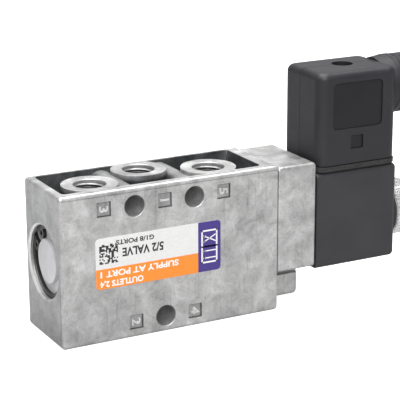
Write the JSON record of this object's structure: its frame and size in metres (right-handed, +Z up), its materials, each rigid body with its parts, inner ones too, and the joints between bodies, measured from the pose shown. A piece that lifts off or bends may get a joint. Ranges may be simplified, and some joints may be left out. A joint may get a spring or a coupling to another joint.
{
  "type": "solenoid directional valve",
  "caption": "Solenoid directional valve with a die-cast body, tapped air ports, a sprung spool, a plug-in coil and a plug connector with a cable gland.",
  "frame": {"origin": "on the base face, under the supply port, on the middle plane of the body", "axes": "+X along the spool towards the solenoid, +Y away from the label face, +Z up towards the three top ports"},
  "size_m": [0.1312, 0.0261, 0.073],
  "materials": {
    "cast_metal": "die-cast aluminium, tumbled",
    "cage_metal": "turned",
    "spool_metal": "ground and anodised",
    "spring_steel": "drawn wire",
    "white_plastic": "moulded acetal",
    "seal_rubber": "nitrile rubber",
    "black_steel": "phosphated",
    "zinc_steel": "zinc plated",
    "brass": "turned",
    "stainless": "turned stainless steel",
    "bobbin_plastic": "moulded",
    "copper": "enamelled copper wire",
    "coil_plastic": "moulded, fine satin",
    "tin_plate": "tin plated",
    "nickel_plate": "nickel plated, knurled",
    "plug_plastic": "moulded, satin",
    "label_foil": "printed foil"
  },
  "bodies": {
    "valve": {"armature_tube": "stainless", "centre_screw": "zinc_steel", "centre_screw_washer": "seal_rubber", "circlip": "black_steel", "clamp_screws": "zinc_steel", "coil_bobbin": "bobbin_plastic", "coil_face_seal": "seal_rubber", "coil_housing": "coil_plastic", "coil_nut": "nickel_plate", "coil_washer": "seal_rubber", "coil_winding": "copper", "coil_yoke": "zinc_steel", "connector_front_shell": "plug_plastic", "connector_gasket": "seal_rubber", "connector_rear_shell": "plug_plastic", "contact_blades": "tin_plate", "contact_sockets": "brass", "cover_gasket": "seal_rubber", "cover_screws": "zinc_steel", "earth_blade": "tin_plate", "end_plug": "white_plastic", "end_plug_o_ring": "seal_rubber", "fixed_core": "stainless", "gland_body": "plug_plastic", "gland_grommet": "seal_rubber", "gland_nut": "plug_plastic", "gland_washer": "bobbin_plastic", "label": "label_foil", "override_bush": "brass", "override_spring": "spring_steel", "pilot_cover": "cast_metal", "pilot_nozzle": "brass", "plunger_spring": "spring_steel", "return_spring": "spring_steel", "screw_insert": "brass", "seal_cages": "cage_metal", "spool_seals": "seal_rubber", "terminal_block": "plug_plastic", "tube_o_ring": "seal_rubber", "valve_body": "cast_metal"},
    "spool_group": {"spool": "spool_metal", "pilot_piston": "white_plastic", "piston_lip_seal": "seal_rubber"},
    "plunger_group": {"plunger": "stainless", "plunger_seat_disc": "seal_rubber"},
    "override_group": {"override_pin": "brass", "override_o_ring": "seal_rubber"}
  },
  "joints": [
    {"name": "spool_slide", "type": "slide", "parent": "valve", "child": "spool_group", "axis": [-1, 0, 0], "range_m": [0, 0.004], "stiffness_N_per_m": 300, "springref_m": -0.004, "deforming": ["return_spring"]},
    {"name": "plunger_slide", "type": "slide", "parent": "valve", "child": "plunger_group", "axis": [1, 0, 0], "range_m": [0, 0.0012], "stiffness_N_per_m": 200, "springref_m": -0.003, "deforming": ["plunger_spring"]},
    {"name": "override_press", "type": "slide", "parent": "valve", "child": "override_group", "axis": [0, 0, 1], "range_m": [0, 0.002], "stiffness_N_per_m": 100, "springref_m": -0.002, "deforming": ["override_spring"]}
  ]
}
